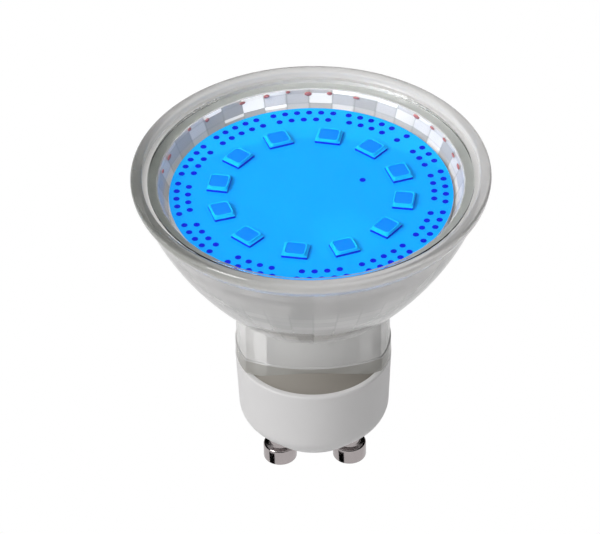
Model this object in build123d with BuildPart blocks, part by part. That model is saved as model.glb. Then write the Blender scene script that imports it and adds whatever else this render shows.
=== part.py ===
from build123d import *

import os
from math import cos, radians, sin, sqrt

# LED spotlight bulb with a pressed-glass cup and a twist-lock base.
# Origin: the lamp's axis at the height of the contact pins' ends. +Z is the way the light goes,
# and the two contact pins stand along X. All sizes are in millimetres.

# ---- Driving dimensions -------------------------------------------------------------------

# Contact pins
pin_spacing = 10.0
pin_head_radius = 2.4
pin_head_height = 2.6
pin_neck_radius = 1.55
pin_edge_fillet = 0.25
pin_collar_radius = 2.2
pin_collar_height = 0.8

# Base cup
base_bottom_z = 6.7
base_height = 13.35
base_floor = 1.6
base_wall = 0.8
base_overhang = 0.2
base_draft = 0.45
base_chamfer_height = 3.4
base_flat_inset = 0.1
base_chamfer_fillet = 3.0
base_pocket_clearance = 0.3
base_seat_height = 2.0
base_rim_fillet = 0.3

# Glass cup: neck, foot and spigot
neck_radius = 10.9
neck_flat_distance = 7.5
neck_flat_bulge_radius = 22.0
neck_height = 7.9
neck_wall = 2.1
foot_step = 0.15
foot_height = 2.65
spigot_clearance = 0.3
spigot_length = 6.1

# Glass cup: bowl and rim
rim_radius = 25.0
bowl_height = 20.45
bowl_shoulder = 1.1
bowl_bulge = 1.4
lip_height = 0.55
lip_width = 1.6
flange_height = 2.3
flange_overhang = 1.3
facet_count = 40
cavity_margin = 0.8
cavity_bulge = 0.9
cavity_bands = 5

# Cover glass and its seal
cover_thickness = 1.2
cover_recess_depth = 0.65
cover_chamfer = 0.12
cover_seal_width = 0.75
cover_seal_height = 0.96

# LED board and the faceted pocket that holds it
ledge_width = 1.45
ledge_flare = 1.35
board_clearance = 0.1
board_seat_width = 0.85
board_thickness = 1.0
board_depth_below_ledge = 2.3
hole_radius = 0.4
outer_hole_edge_distance = 1.05
inner_hole_edge_distance = 2.65
outer_hole_pitch_angle = 5.25
inner_hole_pitch_angle = 5.8
hole_group_turn = -1.2
lone_hole_ring_radius = 7.8
lone_hole_angle = 22.5

# LED packages
led_edge_distance = 6.75
led_length = 3.6
led_width = 2.95
led_height = 0.75
led_corner_radius = 0.25
led_window_length = 2.65
led_window_width = 2.45
led_window_depth = 0.45
led_window_corner_radius = 0.5
led_gel_drop = 0.05

# Carrier (white neck insert) and the sleeve inside it
carrier_clearance = 0.1
carrier_wall = 1.1
carrier_rise = 0.6
carrier_window_half_width = 6.3
carrier_sill = 3.2
carrier_lintel = 0.4
sleeve_clearance = 0.12
sleeve_wall = 0.25
sleeve_lift = 0.3
sleeve_rise = 1.8

# Cement ring between the spigot and the base cup
cement_drop = 0.4

# Driver board and what is on it
driver_side_gap = 1.43
driver_back_gap = 0.19
driver_thickness = 0.8
driver_lift = 1.1
driver_rise = 2.6
component_gap = 0.7
component_fillet = 0.3
block_corner_radius = 0.2
capacitor_front_gap = 0.5
capacitor_length = 9.0
component_side_gap = 0.85
film_capacitor_depth, film_capacitor_height = 2.4, 4.4
bridge_depth, bridge_height = 1.4, 4.0
chip_depth, chip_height = 1.5, 4.9
choke_inset = 0.4
choke_height = 4.0
resistor_body_radius = 0.8
resistor_body_length = 4.6
chip_resistor_size = (1.6, 0.5, 0.8)

# Wires
wire_radius = 0.5
wire_bend_radius = 1.6
board_wire_half_spacing = 3.4

# ---- Values worked out from the driving dimensions ---------------------------------------------

pin_half_spacing = pin_spacing / 2
base_floor_z = base_bottom_z + base_floor
base_seat_z = base_floor_z + base_seat_height
base_rim_z = base_bottom_z + base_height
base_rim_radius = neck_radius + base_overhang
base_bore_radius = base_rim_radius - base_wall
base_pocket_radius = pin_half_spacing + pin_collar_radius + base_pocket_clearance
spigot_bottom_z = base_rim_z - spigot_length
foot_top_z = base_rim_z + foot_height
bowl_bottom_z = foot_top_z + neck_height
bowl_bottom_radius = neck_radius + bowl_shoulder
rim_z = bowl_bottom_z + bowl_height
lip_top_z = rim_z + lip_height
recess_radius = rim_radius - lip_width
cover_radius = recess_radius - cover_seal_width
cover_top_z = lip_top_z - cover_recess_depth
ledge_z = cover_top_z - cover_thickness
ledge_radius = cover_radius - ledge_width
board_radius = ledge_radius - ledge_flare - board_clearance
board_top_z = ledge_z - board_depth_below_ledge
board_bottom_z = board_top_z - board_thickness
cavity_bottom_z = bowl_bottom_z + neck_wall / 2
cavity_bottom_radius = neck_radius - neck_wall + cavity_margin
cavity_top_radius = board_radius - board_seat_width
outer_hole_ring_radius = board_radius - outer_hole_edge_distance
inner_hole_ring_radius = board_radius - inner_hole_edge_distance
led_ring_radius = board_radius - led_edge_distance
spigot_inset = neck_radius - base_bore_radius + spigot_clearance
carrier_inset = neck_wall + carrier_clearance
carrier_top_z = bowl_bottom_z + carrier_rise
sleeve_inset = carrier_inset + carrier_wall + sleeve_clearance
sleeve_inner_inset = sleeve_inset + sleeve_wall
sleeve_bottom_z = base_seat_z + sleeve_lift
sleeve_top_z = bowl_bottom_z + sleeve_rise
pin_centres = {"left": -pin_half_spacing, "right": pin_half_spacing}

# The twelve LEDs are spaced a little unevenly, to leave room for the tracks between them.
led_angles = (19, 49, 78, 110, 141, 169, 197, 227, 260, 290, 322, 351)
sectors_with_fifth_inner_hole = (2, 3, 9)
sector_with_sixth_outer_hole = 2
sector_with_missing_pair = 0

os.makedirs("parts", exist_ok=True)


def save(part, name):
    """Label a finished piece and write its STEP file."""
    part.label = name
    export_step(part, f"parts/{name}.step")


def oblong(inset):
    """Draw the neck's plan outline, moved inwards: a circle cut by two shallow arcs."""
    bulge = neck_flat_bulge_radius - inset
    offset_y = neck_flat_bulge_radius - neck_flat_distance
    Circle(neck_radius - inset)
    with Locations((0, -offset_y)):
        Circle(bulge, mode=Mode.INTERSECT)
    with Locations((0, offset_y)):
        Circle(bulge, mode=Mode.INTERSECT)


def oblong_half_depth(inset, x):
    """Half the depth of that outline at a distance x from its middle."""
    bulge = neck_flat_bulge_radius - inset
    return sqrt(bulge**2 - x**2) - (neck_flat_bulge_radius - neck_flat_distance)


# ---- Contact pins: head, neck and the collar that is riveted inside the base ---------------------

for side, pin_x in pin_centres.items():
    with BuildPart() as contact_pin:
        with BuildSketch(Plane.XY):
            with Locations((pin_x, 0)):
                Circle(pin_head_radius)
        extrude(amount=pin_head_height)
        fillet(contact_pin.edges().filter_by(GeomType.CIRCLE), radius=pin_edge_fillet)
        with BuildSketch(Plane.XY.offset(pin_head_height)):
            with Locations((pin_x, 0)):
                Circle(pin_neck_radius)
        extrude(amount=base_floor_z - pin_head_height)
        with BuildSketch(Plane.XY.offset(base_floor_z)):
            with Locations((pin_x, 0)):
                Circle(pin_collar_radius)
        extrude(amount=pin_collar_height)
    save(contact_pin.part, f"contact_pin_{side}")

# ---- Base cup: drafted wall, chamfered bottom, a seat for the carrier and two pin holes ---------

with BuildPart() as base_cup:
    chamfer_top_radius = base_rim_radius - base_draft
    chamfer_top_z = base_bottom_z + base_chamfer_height
    base_flat_radius = base_pocket_radius - base_flat_inset
    with BuildSketch(Plane.XZ):
        with BuildLine():
            FilletPolyline(
                (base_flat_radius, base_bottom_z),
                (chamfer_top_radius, chamfer_top_z),
                (base_rim_radius, base_rim_z),
                radius=base_chamfer_fillet,
            )
            Polyline(
                (base_rim_radius, base_rim_z),
                (0, base_rim_z),
                (0, base_bottom_z),
                (base_flat_radius, base_bottom_z),
            )
        make_face()
    revolve(axis=Axis.Z)
    with BuildSketch(Plane.XY.offset(base_floor_z)):
        Circle(base_pocket_radius)
    extrude(amount=base_seat_height, mode=Mode.SUBTRACT)
    with BuildSketch(Plane.XY.offset(base_seat_z)):
        Circle(base_bore_radius)
    extrude(amount=base_height, mode=Mode.SUBTRACT)
    with BuildSketch(Plane.XY.offset(base_bottom_z)):
        with Locations((-pin_half_spacing, 0), (pin_half_spacing, 0)):
            Circle(pin_neck_radius)
    extrude(amount=base_floor, mode=Mode.SUBTRACT)
    rim_edges = base_cup.edges().filter_by(GeomType.CIRCLE).group_by(Axis.Z)[-1]
    fillet(rim_edges.sort_by(SortBy.RADIUS)[-1], radius=base_rim_fillet)
save(base_cup.part, "base_cup")

# ---- Glass cup: one pressed piece with bowl, rim, neck, foot and spigot -------------------------


def cavity_radius(z):
    """Inner radius of the bowl below the LED board, measured to the middle of a facet."""
    share = (z - cavity_bottom_z) / (board_bottom_z - cavity_bottom_z)
    chord = cavity_bottom_radius + share * (cavity_top_radius - cavity_bottom_radius)
    return chord + 4 * cavity_bulge * share * (1 - share)


with BuildPart() as glass_cup:
    # Bowl and rim as one turned shape
    flange_z = rim_z - flange_height
    flange_radius = rim_radius - flange_overhang
    middle_radius = (bowl_bottom_radius + flange_radius) / 2 + bowl_bulge
    with BuildSketch(Plane.XZ):
        with BuildLine():
            ThreePointArc(
                (bowl_bottom_radius, bowl_bottom_z),
                (middle_radius, (bowl_bottom_z + flange_z) / 2),
                (flange_radius, flange_z),
            )
            ThreePointArc(
                (flange_radius, flange_z),
                (rim_radius - flange_overhang / 4, flange_z + flange_height * 0.55),
                (rim_radius, rim_z),
            )
            Polyline(
                (rim_radius, rim_z),
                (rim_radius, lip_top_z),
                (0, lip_top_z),
                (0, bowl_bottom_z),
                (bowl_bottom_radius, bowl_bottom_z),
            )
        make_face()
    revolve(axis=Axis.Z)
    # Neck, foot and spigot
    with BuildSketch(Plane.XY.offset(spigot_bottom_z)):
        oblong(spigot_inset)
    extrude(amount=spigot_length)
    with BuildSketch(Plane.XY.offset(base_rim_z)):
        oblong(-foot_step)
    extrude(amount=foot_height)
    with BuildSketch(Plane.XY.offset(foot_top_z)):
        oblong(0)
    extrude(amount=bowl_bottom_z - foot_top_z)
    # Recess for the cover glass and its seal
    with BuildSketch(Plane.XY.offset(ledge_z)):
        Circle(recess_radius)
    extrude(amount=lip_top_z - ledge_z, mode=Mode.SUBTRACT)
    # Faceted pocket that holds the LED board, flaring up to the ledge
    with BuildSketch(Plane.XY.offset(board_bottom_z)):
        RegularPolygon(board_radius + board_clearance, facet_count, major_radius=False)
    with BuildSketch(Plane.XY.offset(ledge_z)):
        RegularPolygon(ledge_radius, facet_count, major_radius=False)
    loft(ruled=True, mode=Mode.SUBTRACT)
    # Faceted cavity of the bowl under the board
    band_height = (board_bottom_z - cavity_bottom_z) / cavity_bands
    for band in range(cavity_bands):
        low_z = cavity_bottom_z + band * band_height
        high_z = low_z + band_height
        with BuildSketch(Plane.XY.offset(low_z)):
            RegularPolygon(cavity_radius(low_z), facet_count, major_radius=False)
        with BuildSketch(Plane.XY.offset(high_z)):
            RegularPolygon(cavity_radius(high_z), facet_count, major_radius=False)
        loft(ruled=True, mode=Mode.SUBTRACT)
    # Passage through the neck for the carrier
    with BuildSketch(Plane.XY.offset(spigot_bottom_z)):
        oblong(neck_wall)
    extrude(amount=cavity_bottom_z - spigot_bottom_z, mode=Mode.SUBTRACT)
    lip_edges = glass_cup.edges().filter_by(GeomType.CIRCLE).group_by(Axis.Z)[-1]
    fillet(lip_edges.sort_by(SortBy.RADIUS)[-1], radius=min(lip_height, lip_width) * 0.8)
    lip_edges = glass_cup.edges().filter_by(GeomType.CIRCLE).group_by(Axis.Z)[-1]
    fillet(lip_edges.sort_by(SortBy.RADIUS)[0], radius=min(lip_height, lip_width) * 0.4)
save(glass_cup.part, "glass_cup")

# ---- Cover glass and the bead of adhesive round it ----------------------------------------------

with BuildPart() as cover_glass:
    with BuildSketch(Plane.XY.offset(ledge_z)):
        Circle(cover_radius)
    extrude(amount=cover_thickness)
    chamfer(cover_glass.edges().filter_by(GeomType.CIRCLE), length=cover_chamfer)
save(cover_glass.part, "cover_glass")

with BuildPart() as cover_seal:
    with BuildSketch(Plane.XY.offset(ledge_z)):
        Circle(recess_radius)
        Circle(cover_radius, mode=Mode.SUBTRACT)
    extrude(amount=cover_seal_height)
save(cover_seal.part, "cover_seal")

# ---- LED board with its two rings of small holes ------------------------------------------------


def polar(radius, angle):
    """A point on a circle about the lamp's axis, with the angle in degrees from +X."""
    return (radius * cos(radians(angle)), radius * sin(radians(angle)))


def sector_angles(middle, count, pitch):
    """Evenly pitched angles, centred on the middle of a sector."""
    return [middle + (index - (count - 1) / 2) * pitch for index in range(count)]


def hole_points():
    """Centres of the holes that fill each sector between two neighbouring LEDs."""
    points = [polar(lone_hole_ring_radius, lone_hole_angle)]
    for sector, start in enumerate(led_angles):
        end = led_angles[(sector + 1) % len(led_angles)]
        middle = start + (end - start) % 360 / 2 + hole_group_turn
        inner_count = 5 if sector in sectors_with_fifth_inner_hole + (sector_with_missing_pair,) else 4
        outer_count = 6 if sector == sector_with_sixth_outer_hole else 5
        inner = sector_angles(middle, inner_count, inner_hole_pitch_angle)
        outer = sector_angles(middle, outer_count, outer_hole_pitch_angle)
        if sector == sector_with_missing_pair:
            del inner[3], outer[3]
        points += [polar(inner_hole_ring_radius, angle) for angle in inner]
        points += [polar(outer_hole_ring_radius, angle) for angle in outer]
    return points


with BuildPart() as led_board:
    with BuildSketch(Plane.XY.offset(board_bottom_z)):
        Circle(board_radius)
        with Locations(*hole_points()):
            Circle(hole_radius, mode=Mode.SUBTRACT)
    extrude(amount=board_thickness)
save(led_board.part, "led_board")

# ---- LED packages: a housing with a window, and the gel that fills the window --------------------

for number, angle in enumerate(led_angles, start=1):
    led_x, led_y = polar(led_ring_radius, angle)
    led_plane = Plane(origin=(led_x, led_y, board_top_z), x_dir=(*polar(1, angle + 90), 0), z_dir=(0, 0, 1))
    window_plane = led_plane.offset(led_height - led_window_depth)
    with BuildPart() as led:
        with BuildSketch(led_plane):
            RectangleRounded(led_length, led_width, led_corner_radius)
        extrude(amount=led_height)
        with BuildSketch(window_plane):
            RectangleRounded(led_window_length, led_window_width, led_window_corner_radius)
        extrude(amount=led_window_depth, mode=Mode.SUBTRACT)
    save(led.part, f"led_{number:02d}")
    with BuildPart() as led_gel:
        with BuildSketch(window_plane):
            RectangleRounded(led_window_length, led_window_width, led_window_corner_radius)
        extrude(amount=led_window_depth - led_gel_drop)
    save(led_gel.part, f"led_gel_{number:02d}")

# ---- Carrier: white moulded tube that stands in the base and lines the neck ----------------------

with BuildPart() as neck_carrier:
    with BuildSketch(Plane.XY.offset(base_seat_z)):
        oblong(carrier_inset)
    extrude(amount=carrier_top_z - base_seat_z)
    with BuildSketch(Plane.XY.offset(base_seat_z)):
        oblong(carrier_inset + carrier_wall)
    extrude(amount=carrier_top_z - base_seat_z, mode=Mode.SUBTRACT)
    # Windows through the front and back, behind the flats of the neck
    window_bottom_z = foot_top_z - carrier_sill
    with BuildSketch(Plane.XY.offset(window_bottom_z)):
        Rectangle(2 * carrier_window_half_width, 2 * neck_radius)
    extrude(amount=carrier_top_z - carrier_lintel - window_bottom_z, mode=Mode.SUBTRACT)
save(neck_carrier.part, "neck_carrier")

# ---- Insulating sleeve round the driver ----------------------------------------------------------

with BuildPart() as insulating_sleeve:
    with BuildSketch(Plane.XY.offset(sleeve_bottom_z)):
        oblong(sleeve_inset)
    extrude(amount=sleeve_top_z - sleeve_bottom_z)
    with BuildSketch(Plane.XY.offset(sleeve_bottom_z)):
        oblong(sleeve_inner_inset)
    extrude(amount=sleeve_top_z - sleeve_bottom_z, mode=Mode.SUBTRACT)
save(insulating_sleeve.part, "insulating_sleeve")

# ---- Cement that bonds the spigot into the base cup ----------------------------------------------

with BuildPart() as base_cement:
    with BuildSketch(Plane.XY.offset(spigot_bottom_z)):
        Circle(base_bore_radius)
    extrude(amount=spigot_length - cement_drop)
    with BuildSketch(Plane.XY.offset(spigot_bottom_z)):
        oblong(spigot_inset)
    extrude(amount=spigot_length, mode=Mode.SUBTRACT)
save(base_cement.part, "base_cement")

# ---- Driver board and its components --------------------------------------------------------------

driver_half_width = neck_radius - sleeve_inner_inset - driver_side_gap
driver_back_y = oblong_half_depth(sleeve_inner_inset, driver_half_width) - driver_back_gap
driver_face_y = driver_back_y - driver_thickness
driver_bottom_z = base_seat_z + driver_lift
driver_top_z = bowl_bottom_z + driver_rise

with BuildPart() as driver_board:
    with BuildSketch(Plane.XZ.offset(-driver_back_y)):
        with Locations((0, (driver_bottom_z + driver_top_z) / 2)):
            Rectangle(2 * driver_half_width, driver_top_z - driver_bottom_z)
    extrude(amount=driver_thickness)
save(driver_board.part, "driver_board")


def face_block(name, size, x, bottom_z):
    """A moulded block soldered on the driver board's front face."""
    width, depth, height = size
    corner = min(block_corner_radius, 0.4 * width, 0.4 * height)
    with BuildPart() as block:
        with BuildSketch(Plane.XZ.offset(-driver_face_y)):
            with Locations((x, bottom_z + height / 2)):
                RectangleRounded(width, height, corner)
        extrude(amount=depth)
    save(block.part, name)


wire_pad_height = 2.2
resistor_z = driver_bottom_z + wire_pad_height + component_gap / 2
row_1_z = resistor_z + 2 * resistor_body_radius + component_gap / 2
row_2_z = row_1_z + bridge_height + component_gap
row_3_z = row_2_z + chip_height + component_gap
sleeve_front_y = -oblong_half_depth(sleeve_inner_inset, driver_half_width / 2)
capacitor_radius = (driver_face_y - sleeve_front_y - capacitor_front_gap) / 2
left_x = -driver_half_width + capacitor_radius
right_column = 2 * (driver_half_width - capacitor_radius) - component_gap
block_width = right_column - 2 * component_side_gap
right_x = driver_half_width - right_column / 2
face_block("bridge_rectifier", (block_width, bridge_depth, bridge_height), right_x, row_1_z)
face_block("driver_chip", (block_width, chip_depth, chip_height), right_x, row_2_z)
film_capacitor_size = (block_width, film_capacitor_depth, film_capacitor_height)
face_block("film_capacitor", film_capacitor_size, right_x, row_3_z)
resistor_pitch = chip_resistor_size[2] + component_gap / 2
for number in (1, 2):
    face_block(f"chip_resistor_{number}", chip_resistor_size, 0, driver_top_z - number * resistor_pitch)

with BuildPart() as electrolytic_capacitor:
    with BuildSketch(Plane.XY.offset(row_1_z)):
        with Locations((left_x, driver_face_y - capacitor_radius)):
            Circle(capacitor_radius)
    extrude(amount=capacitor_length)
    fillet(electrolytic_capacitor.edges().filter_by(GeomType.CIRCLE), radius=component_fillet)
save(electrolytic_capacitor.part, "electrolytic_capacitor")

with BuildPart() as choke:
    choke_radius = capacitor_radius - choke_inset
    choke_z = row_1_z + capacitor_length + component_gap
    flange_thickness = choke_height / 5
    with BuildSketch(Plane.XY.offset(choke_z)):
        with Locations((left_x, driver_face_y - choke_radius)):
            Circle(choke_radius)
    extrude(amount=choke_height)
    with BuildSketch(Plane.XY.offset(choke_z + flange_thickness)):
        with Locations((left_x, driver_face_y - choke_radius)):
            Circle(choke_radius)
            Circle(choke_radius * 0.85, mode=Mode.SUBTRACT)
    extrude(amount=choke_height - 2 * flange_thickness, mode=Mode.SUBTRACT)
save(choke.part, "choke")

with BuildPart() as fusible_resistor:
    with BuildSketch(Plane.YZ.offset(-resistor_body_length / 2)):
        with Locations((driver_face_y - resistor_body_radius, resistor_z + resistor_body_radius)):
            Circle(resistor_body_radius)
    extrude(amount=resistor_body_length)
    fillet(fusible_resistor.edges().filter_by(GeomType.CIRCLE), radius=component_fillet)
save(fusible_resistor.part, "fusible_resistor")

# ---- Wires: pins to driver board, and driver board to LED board -----------------------------------


def wire(name, points):
    """A round wire along straight runs joined by arcs."""
    with BuildPart() as lead:
        with BuildLine():
            path = FilletPolyline(*points, radius=wire_bend_radius)
        with BuildSketch(Plane(origin=path @ 0, z_dir=path % 0)):
            Circle(wire_radius)
        sweep(path=path)
    save(lead.part, name)


wire_y = driver_face_y - wire_radius
collar_top_z = base_floor_z + pin_collar_height
for side, pin_x in pin_centres.items():
    outward = 1 if pin_x > 0 else -1
    pin_pad_x = outward * (driver_half_width - 2 * wire_radius)
    wire(
        f"pin_wire_{side}",
        [
            (pin_x, 0, collar_top_z),
            (pin_x, 0, collar_top_z + wire_bend_radius),
            (pin_pad_x, wire_y, driver_bottom_z + wire_radius),
            (pin_pad_x, wire_y, driver_bottom_z + wire_pad_height),
        ],
    )
    board_pad_x = outward * (chip_resistor_size[0] / 2 + component_gap + 2 * wire_radius)
    wire(
        f"board_wire_{side}",
        [
            (board_pad_x, wire_y, driver_top_z - wire_pad_height),
            (board_pad_x, wire_y, driver_top_z + wire_pad_height),
            (board_wire_half_spacing * outward, 0, (driver_top_z + board_bottom_z) / 2),
            (board_wire_half_spacing * outward, 0, board_bottom_z),
        ],
    )
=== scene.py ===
from math import cos, hypot, pi, radians, sin, sqrt
from random import Random

import bmesh
import bpy
from mathutils import Matrix, Vector


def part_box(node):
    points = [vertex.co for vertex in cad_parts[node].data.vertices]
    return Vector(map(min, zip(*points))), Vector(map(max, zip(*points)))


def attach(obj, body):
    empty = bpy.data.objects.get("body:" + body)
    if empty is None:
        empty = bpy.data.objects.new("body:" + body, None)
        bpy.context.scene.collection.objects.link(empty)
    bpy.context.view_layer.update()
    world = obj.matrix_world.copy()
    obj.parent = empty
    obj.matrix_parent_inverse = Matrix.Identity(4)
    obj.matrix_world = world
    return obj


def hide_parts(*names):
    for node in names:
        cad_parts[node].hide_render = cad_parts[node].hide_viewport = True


bl_info = {
    "name": "LED Spotlight Bulb",
    "version": (1, 0, 0),
    "blender": (4, 5, 0),
    "location": "3D View > Sidebar > Spotlight Bulb",
    "description": "Builds the visible pieces, finishes and studio of an LED spotlight bulb",
    "category": "Object",
}

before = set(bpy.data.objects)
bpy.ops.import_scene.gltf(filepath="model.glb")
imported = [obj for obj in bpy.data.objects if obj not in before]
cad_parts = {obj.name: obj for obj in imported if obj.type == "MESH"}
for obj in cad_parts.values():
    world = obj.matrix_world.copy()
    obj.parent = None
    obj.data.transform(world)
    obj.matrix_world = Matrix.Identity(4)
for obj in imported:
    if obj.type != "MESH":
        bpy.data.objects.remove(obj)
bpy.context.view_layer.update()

MM = 0.001
BODY = "root"

# ---- Places and sizes read from the frame, in metres -----------------------------------------


def box(node):
    """Lowest and highest corners of a CAD node."""
    low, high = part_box(node)
    return Vector(low), Vector(high)


GLASS_LOW, GLASS_HIGH = box("glass_cup")
COVER_LOW, COVER_HIGH = box("cover_glass")
SEAL_LOW, SEAL_HIGH = box("cover_seal")
BOARD_LOW, BOARD_HIGH = box("led_board")
BASE_LOW, BASE_HIGH = box("base_cup")
PIN_HIGH = box("contact_pin_right")[1]
CEMENT_LOW, CEMENT_HIGH = box("base_cement")

RIM_RADIUS = GLASS_HIGH.x
RECESS_RADIUS = SEAL_HIGH.x
COVER_RADIUS = COVER_HIGH.x
BOARD_RADIUS = BOARD_HIGH.x
BASE_BORE_RADIUS = CEMENT_HIGH.x
FOOT_HEIGHT = 2.65 * MM
NECK_HEIGHT = 7.9 * MM
FOOT_STEP = 0.15 * MM
SPIGOT_CLEARANCE = 0.3 * MM
CAVITY_Z = BASE_HIGH.z + 11.6 * MM
LED_ANGLES = (19, 49, 78, 110, 141, 169, 197, 227, 260, 290, 322, 351)
LED_NODES = [f"led_{number:02d}" for number in range(1, len(LED_ANGLES) + 1)]
GEL_NODES = [f"led_gel_{number:02d}" for number in range(1, len(LED_ANGLES) + 1)]


# ---- Sizes and colours a user would change ---------------------------------------------------


def length(name, description, default):
    """A length property, in metres."""
    return bpy.props.FloatProperty(
        name=name, description=description, default=default, min=0.0, unit="LENGTH", precision=5
    )


def colour(name, description, default):
    """A scene-linear colour property."""
    return bpy.props.FloatVectorProperty(
        name=name, description=description, default=default, size=3, min=0.0, max=1.0, subtype="COLOR"
    )


def amount(name, description, default, top=1.0):
    """A plain factor property."""
    return bpy.props.FloatProperty(name=name, description=description, default=default, min=0.0, max=top)


class GlassSettings(bpy.types.PropertyGroup):
    """Shape and finish of the pressed glass cup, its cover and the seal"""

    tint: colour("Glass tint", "Colour of the pressed glass", (0.90, 0.895, 0.89))
    clarity: amount("Clarity", "How much of the pressed glass is clear rather than milky", 0.62)
    facet_clarity: amount("Facet clarity", "The same, for the pressed inner facets", 0.40)
    # Painted shade for the rim's left and near side.
    rim_shade: colour("Rim shade", "Colour of the rim on its dark side", (0.40, 0.41, 0.385))
    # Painted shade: the foot's dark tint stands in for the shaded inside seen through it.
    foot_painted_shade: colour("Foot tint", "Colour of the thick glass foot above the base", (0.42, 0.41, 0.38))
    foot_clarity: amount("Foot clarity", "How much of the foot is clear rather than milky", 0.35)
    # Painted light and shade: the range of tones given to the facets at random.
    facet_dark: colour("Dark facets", "Colour of the darkest facets", (0.46, 0.45, 0.45))
    facet_pale: colour("Pale facets", "Colour of the palest facets", (0.86, 0.83, 0.83))
    ledge_dark: colour("Dark ledge", "Colour of the ledge on its dark side", (0.15, 0.16, 0.145))
    ledge_lit: colour("Lit ledge", "Colour of the ledge on its lit side", (0.45, 0.46, 0.44))
    cover_tint: colour("Cover tint", "Colour of the flat cover glass", (0.985, 0.99, 0.99))
    mould_roughness: amount("Mould roughness", "Roughness of the pressed inner facets", 0.28)
    columns: bpy.props.IntProperty(
        name="Facet columns", description="Facets round the inside of the cup", default=40, min=6
    )
    facet_height: length("Facet height", "Height of one row of inner facets", 1.35 * MM)
    facet_tilt: length("Facet tilt", "How far the facets lean out of their row", 0.10 * MM)
    neck_radius: length("Neck radius", "Radius of the neck's rounded ends", 10.9 * MM)
    neck_flat: length("Neck flat", "Distance from the axis to the neck's flat face", 7.5 * MM)
    flat_bulge: length("Flat bulge radius", "Plan radius of the neck's flat faces", 22.0 * MM)
    wall: length("Neck wall", "Thickness of the glass neck", 2.1 * MM)
    seal_lumps: length("Seal lumps", "Unevenness of the adhesive bead", 0.12 * MM)


class BoardSettings(bpy.types.PropertyGroup):
    """The LED board and its packages"""

    mask: colour("Solder mask", "Colour of the board's solder mask", (0.001, 0.325, 0.90))
    hole: colour("Hole", "Colour inside the board's holes", (0.0, 0.008, 0.62))
    border: colour("Package border", "Colour of the LED package's top", (0.004, 0.46, 0.96))
    # Painted shade: the darker blue of the package's lower side walls.
    side: colour("Package side", "Colour of the LED package's side walls", (0.0, 0.02, 0.62))
    window: colour("Window", "Colour of the encapsulant", (0.0, 0.22, 0.90))
    # Painted glow: emission on the board, LED packages and hole linings that brightens them, though they
    # are no lamp.
    painted_glow: amount("Glow", "Strength of the board's own light", 0.12)
    hole_radius: length("Hole radius", "Radius of the board's holes and their dark rims", 0.45 * MM)
    package_length: length("Package length", "LED size along the ring", 3.6 * MM)
    package_width: length("Package width", "LED size across the ring", 2.95 * MM)
    window_length: length("Window length", "Window size along the ring", 2.65 * MM)
    window_width: length("Window width", "Window size across the ring", 2.45 * MM)
    ring_radius: length("LED ring radius", "Distance from the axis to each LED", 13.0 * MM)


class BaseSettings(bpy.types.PropertyGroup):
    """The moulded base, the cement and the contact pins"""

    plastic: colour("Base plastic", "Colour of the moulded base", (0.74, 0.73, 0.73))
    carrier: colour("Carrier plastic", "Colour of the carrier inside the neck", (0.80, 0.80, 0.80))
    cement: colour("Cement", "Colour of the cement in the base", (0.27, 0.25, 0.22))
    sleeve: colour("Sleeve", "Colour of the insulating sleeve", (0.20, 0.20, 0.185))
    plating: colour("Plating", "Colour of the contact pins", (0.55, 0.50, 0.50))


class StudioSettings(bpy.types.PropertyGroup):
    """The camera, lights and floor"""

    distance: length("Camera distance", "From the camera to the point it looks at", 705.0 * MM)
    elevation: bpy.props.FloatProperty(
        name="Elevation",
        description="Camera height above the horizon",
        default=radians(38.88),
        subtype="ANGLE",
    )
    roll: bpy.props.FloatProperty(
        name="Roll", description="Camera roll", default=radians(-0.95), subtype="ANGLE"
    )
    lens: bpy.props.FloatProperty(name="Lens", description="Focal length in millimetres", default=301.3)
    target_x: bpy.props.FloatProperty(
        name="Target X",
        description="Sideways place of the point looked at",
        default=-1.713 * MM,
        unit="LENGTH",
    )
    target_z: length("Target height", "Height of the point looked at", 34.85 * MM)
    key_power: amount("Key power", "Power of the key light, in watts", 9.0, top=1000.0)
    fill_power: amount("Fill power", "Power of the fill light, in watts", 0.2, top=1000.0)
    world_light: amount("World light", "Strength of the surrounding light", 0.30, top=10.0)
    seen_in_glass: amount("Seen in glass", "How white the surroundings look through glass", 0.75)
    seen_above: amount("Seen above", "How white the upper surroundings look in reflections", 0.0)


SETTINGS = {
    "bulb_glass": GlassSettings,
    "bulb_board": BoardSettings,
    "bulb_base": BaseSettings,
    "bulb_studio": StudioSettings,
}


# ---- Shader expressions ----------------------------------------------------------------------


class Value:
    """A shader socket that Python's operators work on."""

    def __init__(self, finish, socket):
        self.finish = finish
        self.socket = socket

    def of(self, output):
        """Another output of the same node."""
        return Value(self.finish, self.socket.node.outputs[output])

    def maths(self, operation, *inputs):
        """A Math node on these inputs."""
        return self.finish.add("ShaderNodeMath", {"operation": operation}, dict(enumerate(inputs)))

    def __add__(self, other):
        return self.maths("ADD", self, other)

    def __sub__(self, other):
        return self.maths("SUBTRACT", self, other)

    def __rsub__(self, other):
        return self.maths("SUBTRACT", other, self)

    def __mul__(self, other):
        return self.maths("MULTIPLY", self, other)

    def __truediv__(self, other):
        return self.maths("DIVIDE", self, other)

    __radd__ = __add__
    __rmul__ = __mul__

    def off_middle(self):
        """How far a share from 0 to 1 lies from one half."""
        return self.maths("ABSOLUTE", self - 0.5)

    def above(self, edge, softness):
        """A soft step from 0 to 1 as the value passes an edge."""
        sockets = {"Value": self, "From Min": edge - softness, "From Max": edge + softness}
        return self.finish.add("ShaderNodeMapRange", {"interpolation_type": "SMOOTHSTEP"}, sockets)


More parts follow.
